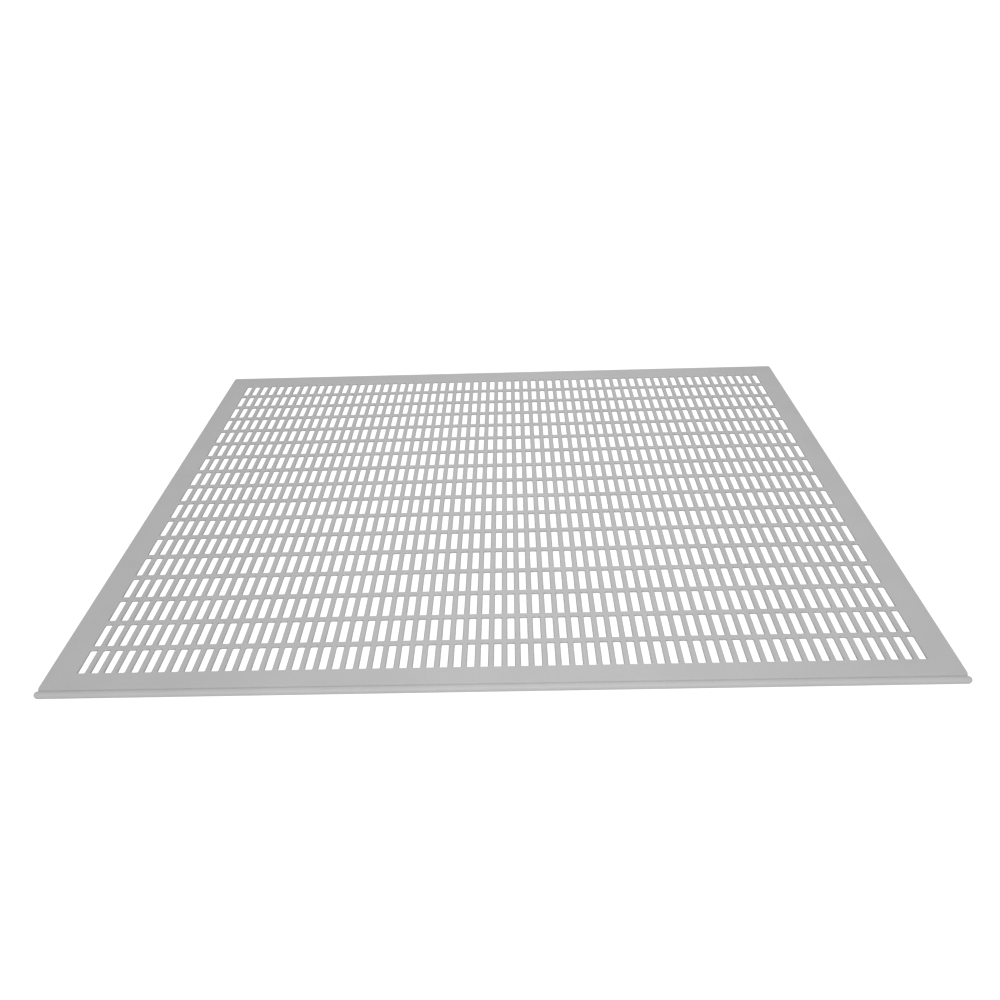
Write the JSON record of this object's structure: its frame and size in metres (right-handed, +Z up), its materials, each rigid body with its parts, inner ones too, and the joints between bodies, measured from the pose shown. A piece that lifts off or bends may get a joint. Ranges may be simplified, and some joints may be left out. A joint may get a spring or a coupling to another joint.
{
  "type": "queen excluder",
  "caption": "Thin flat slotted plastic sheet with a plain border and a round bead along one long edge; lies between two beehive boxes.",
  "frame": {"origin": "centre of the bounding box in plan, at the underside of the bead", "axes": "+X along the long edges, -Y towards the beaded edge, +Z up through the slots"},
  "size_m": [0.505, 0.413, 0.0042],
  "materials": {
    "front_plastic": "satin light grey",
    "rear_plastic": "satin light grey",
    "bead_plastic": "satin light grey"
  },
  "bodies": {
    "root": {"sheet_front": "front_plastic", "sheet_rear": "rear_plastic", "edge_bead": "bead_plastic"}
  },
  "joints": []
}
